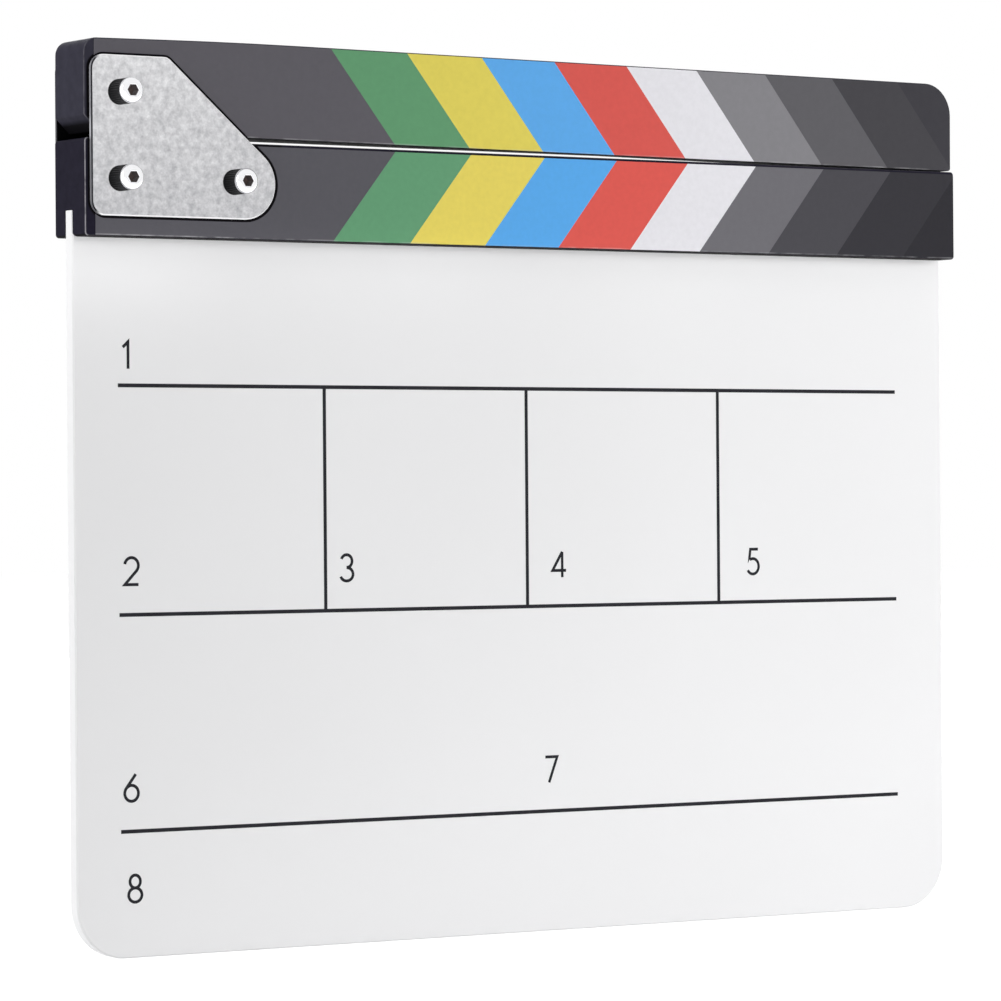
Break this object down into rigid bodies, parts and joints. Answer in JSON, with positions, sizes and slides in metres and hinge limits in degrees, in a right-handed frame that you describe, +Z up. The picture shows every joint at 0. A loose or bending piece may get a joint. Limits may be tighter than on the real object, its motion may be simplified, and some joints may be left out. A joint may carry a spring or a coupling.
{
  "type": "clapperboard",
  "caption": "Hand-held clapperboard: a white writing board under a fixed striped clap stick, with a second striped stick hinged above it that swings up and claps shut.",
  "frame": {"origin": "middle of the board's bottom edge, half way through the board's thickness", "axes": "+X along the sticks towards their free end, -Y out of the written face, +Z up from the board's bottom edge to the sticks"},
  "size_m": [0.3, 0.0338, 0.2502],
  "materials": {
    "white_acrylic": "opaque white acrylic sheet, satin gloss",
    "black_painted_wood": "wood with satin black paint",
    "printed_vinyl": "matt printed vinyl strip",
    "zinc_plated_steel": "mottled zinc plating",
    "turned_steel": "plain turned steel",
    "bright_chrome": "polished plating",
    "black_oxide_steel": "black oxide",
    "nickel_plate": "nickel plating",
    "nylon": "natural nylon"
  },
  "bodies": {
    "slate": {"slate_board": "white_acrylic", "lower_stick": "black_painted_wood", "lower_stick_label": "printed_vinyl", "front_hinge_plate": "zinc_plated_steel", "back_hinge_plate": "zinc_plated_steel", "pivot_sleeve": "turned_steel", "front_pivot_shim": "nylon", "back_pivot_shim": "nylon", "lower_magnet": "nickel_plate", "board_screws": "black_oxide_steel", "pivot_screw": "bright_chrome", "pivot_washer": "turned_steel", "pivot_nut": "turned_steel", "left_fixing_screw": "bright_chrome", "left_fixing_washer": "turned_steel", "left_fixing_nut": "turned_steel", "right_fixing_screw": "bright_chrome", "right_fixing_washer": "turned_steel", "right_fixing_nut": "turned_steel"},
    "clap_arm": {"upper_stick": "black_painted_wood", "upper_stick_label": "printed_vinyl", "upper_magnet": "nickel_plate"}
  },
  "joints": [
    {"name": "clap_hinge", "type": "hinge", "parent": "slate", "child": "clap_arm", "pos_m": [-0.1399, 0, 0.23505], "axis": [0, -1, 0], "range_deg": [0, 98]}
  ]
}
